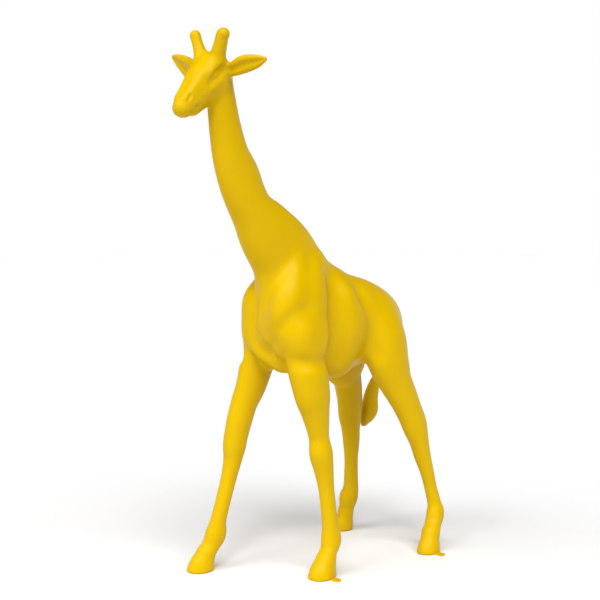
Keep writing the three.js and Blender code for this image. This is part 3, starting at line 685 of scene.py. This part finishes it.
def settled(points, rounds):
    """Moves points onto the surface along the carving's own slope."""
    directions = np.array([[1, 1, 1], [1, -1, -1], [-1, 1, -1], [-1, -1, 1]], float)
    for _ in range(rounds):
        around = [carving(points + SETTLE_STEP * d) for d in directions]
        slope = sum(value[:, None] * d for value, d in zip(around, directions)) / (4 * SETTLE_STEP)
        value = sum(around) / 4
        step = value / np.maximum((slope**2).sum(1), LEAST_SLOPE_SQUARED)
        step = np.clip(step, -LONGEST_MOVE, LONGEST_MOVE)
        points = points - step[:, None] * slope
    points[:, 2] = np.maximum(points[:, 2], 0)
    return points


def evened(points, quads, share):
    """Moves each point towards the middle of its neighbours."""
    ends = np.vstack([quads[:, [k, (k + 1) % 4]] for k in range(4)])
    ends = np.vstack([ends, ends[:, ::-1]])
    count = np.bincount(ends[:, 0], minlength=len(points))
    sums = [np.bincount(ends[:, 0], points[ends[:, 1], k], len(points)) for k in range(3)]
    middle = np.stack([total / count for total in sums], axis=1)
    return points + (middle - points) * share


def flowed_out(points, quads):
    """Softens the sharpest creases, as paint fills them, and keeps the size of all that is wider."""
    for _ in range(FLOW_ROUNDS):
        points = evened(evened(points, quads, FLOW_IN), quads, FLOW_BACK)
    points[:, 2] = np.maximum(points[:, 2], 0)
    return points


def mesh_object(name, vertices, faces, material):
    mesh = bpy.data.meshes.new(name)
    mesh.from_pydata(vertices.tolist(), [], faces.tolist())
    mesh.validate()
    mesh.shade_smooth()
    mesh.materials.append(material)
    made = bpy.data.objects.new(name, mesh)
    bpy.context.scene.collection.objects.link(made)
    return made


def giraffe_casting(material):
    """The whole painted animal as one closed mesh, its soles flat on the ground."""
    heights = lattice_levels()
    points, quads = surface_net(lattice_values(heights), heights)
    points = settled(points, SETTLE_FIRST)
    for _ in range(EVEN_ROUNDS):
        points = settled(evened(points, quads, EVEN_SHARE), 1)
    points = flowed_out(points, quads)
    low, high = np.array(cad_box)
    vertices = np.clip(points * HUNDREDTH + CARVING_ORIGIN, low + BOX_MARGIN, high - BOX_MARGIN)
    return mesh_object("giraffe_casting", vertices, quads, material)


# The finishes.


def linear(colour):
    """An sRGB hex colour as the linear one that a shader takes."""
    channels = [int(colour[k : k + 2], 16) / 255 for k in (1, 3, 5)]
    return *[c / 12.92 if c <= 0.04045 else ((c + 0.055) / 1.055) ** 2.4 for c in channels], 1.0


def add(tree, kind, values=None, links=None, **settings):
    """Adds a node with its settings, its fixed inputs and its linked inputs."""
    made = tree.nodes.new(kind)
    for name, value in settings.items():
        setattr(made, name, value)
    inputs = {socket.name: socket for socket in made.inputs if socket.enabled}
    for name, value in (values or {}).items():
        inputs[name].default_value = value
    for name, source in (links or {}).items():
        output = next(socket for socket in source.outputs if socket.enabled)
        tree.links.new(output, inputs[name])
    return made


# How wide the enamel's patterns are: drifts of a thicker coat, patches of duller gloss and orange
# peel. The peel is 2 to 4 mm across on the real coat, and is drawn coarser here, so that it shows.
COAT_DRIFT = 220 * MILLIMETRE
GLOSS_PATCH = 60 * MILLIMETRE
PEEL_WAVE = 18 * MILLIMETRE
# The patches make the enamel this much glossier or duller.
GLOSS_LEAST = 0.85
GLOSS_MOST = 1.15


def positioned(tree):
    """The place, in metres, that a pattern is laid out by."""
    return add(tree, "ShaderNodeMapping", links={"Vector": add(tree, "ShaderNodeNewGeometry")})


def mottled(tree, light, deep, factor):
    """A colour that drifts between two tones."""
    tones = {"A": linear(light), "B": linear(deep)}
    return add(tree, "ShaderNodeMix", tones, {"Factor": factor}, data_type="RGBA")


def gloss_enamel(name, light, deep, rough):
    """Alkyd gloss enamel, sprayed over a moulded body. It flows out almost smooth, so the eye gets
    soft broad highlights with the faint ripple of orange peel, and a slightly deeper yellow
    where the coat is thicker."""
    material = bpy.data.materials.new(name)
    material.use_nodes = True
    tree = material.node_tree
    tree.nodes.clear()
    place = {"Vector": positioned(tree)}
    drift = {"Scale": 1 / COAT_DRIFT, "Detail": 3.0, "Roughness": 0.5}
    colour = mottled(tree, light, deep, add(tree, "ShaderNodeTexNoise", drift, place))
    patches = add(tree, "ShaderNodeTexNoise", {"Scale": 1 / GLOSS_PATCH, "Detail": 2.0}, place)
    roughness = add(
        tree,
        "ShaderNodeMapRange",
        {"From Min": 0.3, "From Max": 0.7, "To Min": rough * GLOSS_LEAST, "To Max": rough * GLOSS_MOST},
        {"Value": patches},
    )
    peel = add(tree, "ShaderNodeTexNoise", {"Scale": 1 / PEEL_WAVE, "Detail": 1.0}, place)
    ripple = add(tree, "ShaderNodeBump", {"Strength": 0.02, "Distance": MILLIMETRE}, {"Height": peel})
    shader = add(
        tree,
        "ShaderNodeBsdfPrincipled",
        {"IOR": 1.45, "Specular IOR Level": 0.1},
        {"Base Color": colour, "Roughness": roughness, "Normal": ripple},
    )
    add(tree, "ShaderNodeOutputMaterial", links={"Surface": shader})
    return material


yellow_enamel = gloss_enamel("yellow_gloss_enamel", "#D0AB00", "#C9A200", 0.34)
# The lugs are plain flat steel, painted over with the statue, and duller at ground level.
lug_enamel = gloss_enamel("yellow_enamel_on_steel", "#D6AE00", "#C69C00", 0.45)

# The pieces.

giraffe = giraffe_casting(yellow_enamel)
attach(giraffe, "root")
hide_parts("giraffe")

for lug_name in ("front_fixing_lug", "hind_fixing_lug"):
    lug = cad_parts[lug_name]
    lug.data.materials.clear()
    lug.data.materials.append(lug_enamel)

# The studio.

# The camera looks down a little. Its height and distance are shares of the drawn height.
CAMERA_HEADING = math.radians(46)
CAMERA_TILT = math.radians(4.35)
CAMERA_HEIGHT = 0.68
CAMERA_DISTANCE = 2.17
# The lens is this many times as long as the sensor is wide.
LENS_TO_WIDTH = 2.0
SENSOR = 36.0
DRAWN_HEIGHT = 100 * HUNDREDTH
# The foot that the camera is set by, and the column of pixels that shows it.
FOOT = np.array([0.09, 0.0, 0.0])
FOOT_COLUMN = 322
PICTURE_WIDTH = 600
FLOOR_HALF = 30.0
PAPER_WAVE = 300 * MILLIMETRE

# Each light's way from the statue, given to the camera's right, towards it and up, then its
# strength and its width in degrees.
LIGHTS = {
    "key_diffuser": ((0.47, 1.0, 1.31), 2.2, 40),
    "cross_diffuser": ((-0.47, 1.0, 1.31), 1.2, 40),
    "bulb": ((-0.1, 1.0, 1.2), 0.5, 14),
    "side_diffuser": ((-1.73, 1.0, 1.65), 1.3, 40),
}

# How bright the studio's air is, first by how steeply up one looks, then by how far towards the
# backdrop. Each goes from its first brightness to its second between the two shares given first.
CEILING_FADE = {"From Min": 0.18, "From Max": 0.34, "To Min": 1.0, "To Max": 0.02}
BACKDROP_FADE = {"From Min": 0.1, "From Max": 0.8, "To Min": 0.35, "To Max": 1.0}


def place_camera():
    """Stands where the photograph was taken from."""
    right = np.array([math.cos(CAMERA_HEADING), math.sin(CAMERA_HEADING), 0.0])
    level = np.array([-math.sin(CAMERA_HEADING), math.cos(CAMERA_HEADING), 0.0])
    look = level * math.cos(CAMERA_TILT) - np.array([0, 0, math.sin(CAMERA_TILT)])
    eye = FOOT - CAMERA_DISTANCE * level
    eye[2] = CAMERA_HEIGHT
    depth = (FOOT - eye) @ look
    eye = eye - (FOOT_COLUMN / PICTURE_WIDTH - 0.5) / LENS_TO_WIDTH * depth * right
    data = bpy.data.cameras.new("photo_view")
    data.sensor_width = SENSOR
    data.lens = LENS_TO_WIDTH * SENSOR
    data.clip_end = 100
    camera = bpy.data.objects.new("photo_view", data)
    camera.location = Vector(eye * DRAWN_HEIGHT + CARVING_ORIGIN)
    camera.rotation_euler = (math.pi / 2 - CAMERA_TILT, 0, CAMERA_HEADING)
    bpy.context.scene.collection.objects.link(camera)
    bpy.context.scene.camera = camera


def studio_floor():
    """Matt white studio paper, rolled out under the statue."""
    material = bpy.data.materials.new("white_studio_paper")
    material.use_nodes = True
    tree = material.node_tree
    tree.nodes.clear()
    place = {"Vector": positioned(tree)}
    waves = add(tree, "ShaderNodeTexNoise", {"Scale": 1 / PAPER_WAVE, "Detail": 2.0}, place)
    colour = mottled(tree, "#EBEBEB", "#E9E9E9", waves)
    shader = add(tree, "ShaderNodeBsdfPrincipled", {"Roughness": 0.9, "IOR": 1.4}, {"Base Color": colour})
    add(tree, "ShaderNodeOutputMaterial", links={"Surface": shader})
    corners = np.array([[-1, -1, 0], [1, -1, 0], [1, 1, 0], [-1, 1, 0]]) * FLOOR_HALF
    return mesh_object("studio_floor", corners, np.array([[0, 1, 2, 3]]), material)


def share_of(tree, heading, towards, levels):
    """A brightness that goes by how far a heading points along a direction."""
    along = tree.nodes.new("ShaderNodeVectorMath")
    along.operation = "DOT_PRODUCT"
    along.inputs[1].default_value = towards
    tree.links.new(heading.outputs["Generated"], along.inputs[0])
    share = add(tree, "ShaderNodeMapRange", levels)
    tree.links.new(along.outputs["Value"], share.inputs["Value"])
    return share


def studio_air():
    """The air of a pale studio: a white backdrop behind the statue, greyer walls and a dark ceiling."""
    world = bpy.data.worlds.new("studio_air")
    world.use_nodes = True
    tree = world.node_tree
    tree.nodes.clear()
    heading = add(tree, "ShaderNodeTexCoord")
    walls = share_of(tree, heading, (0, 0, 1), CEILING_FADE)
    behind = (-math.sin(CAMERA_HEADING), math.cos(CAMERA_HEADING), 0)
    backdrop = share_of(tree, heading, behind, BACKDROP_FADE)
    strength = tree.nodes.new("ShaderNodeMath")
    strength.operation = "MULTIPLY"
    tree.links.new(walls.outputs[0], strength.inputs[0])
    tree.links.new(backdrop.outputs[0], strength.inputs[1])
    background = add(tree, "ShaderNodeBackground", {"Color": linear("#FFFFFF")}, {"Strength": strength})
    add(tree, "ShaderNodeOutputWorld", links={"Surface": background})
    bpy.context.scene.world = world


def sun_light(name, way, strength, width):
    """Even light from one direction, as from a large far diffuser."""
    sideways, towards, up = way
    right = Vector((math.cos(CAMERA_HEADING), math.sin(CAMERA_HEADING), 0))
    back = Vector((math.sin(CAMERA_HEADING), -math.cos(CAMERA_HEADING), 0))
    source = right * sideways + back * towards + Vector((0, 0, up))
    data = bpy.data.lights.new(name, "SUN")
    data.energy = strength
    data.angle = math.radians(width)
    light = bpy.data.objects.new(name, data)
    light.rotation_euler = (-source).to_track_quat("-Z", "Y").to_euler()
    bpy.context.scene.collection.objects.link(light)


place_camera()
studio_floor()
studio_air()
for light_name, (way, strength, width) in LIGHTS.items():
    sun_light(light_name, way, strength, width)
# The plain view keeps the yellow as deep as the photograph has it.
bpy.context.scene.view_settings.view_transform = "Standard"
